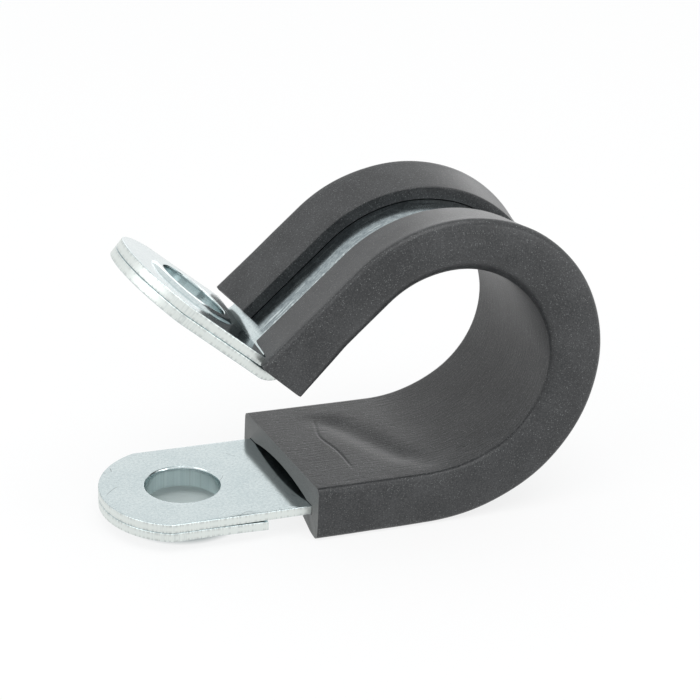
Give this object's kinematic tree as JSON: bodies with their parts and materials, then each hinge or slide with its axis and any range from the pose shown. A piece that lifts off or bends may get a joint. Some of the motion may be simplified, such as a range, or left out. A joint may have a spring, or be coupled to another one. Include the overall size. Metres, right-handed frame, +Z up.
{
  "type": "rubber-lined p clip",
  "caption": "Flat metal strap bent into an open loop with two overlapping drilled tabs, and a rubber channel over the loop, for fixing a hose or cable bundle to a surface.",
  "frame": {"origin": "on the axis of the lower fixing hole, in the underside of the lower plate, which is the face that meets the mounting surface", "axes": "+Z up, away from the mounting surface, and -Z along the lower fixing hole; +X from the lower fixing hole towards the loop; +Y along the pipe's axis"},
  "size_m": [0.0411, 0.0156, 0.027],
  "materials": {
    "zinc": "bright zinc plate over cold-rolled steel strip, fairly glossy, with fine rolling grain",
    "rubber": "matte dark grey extruded rubber"
  },
  "bodies": {
    "root": {"strap": "zinc", "lower_plate": "zinc", "upper_plate": "zinc", "liner": "rubber"}
  },
  "joints": []
}
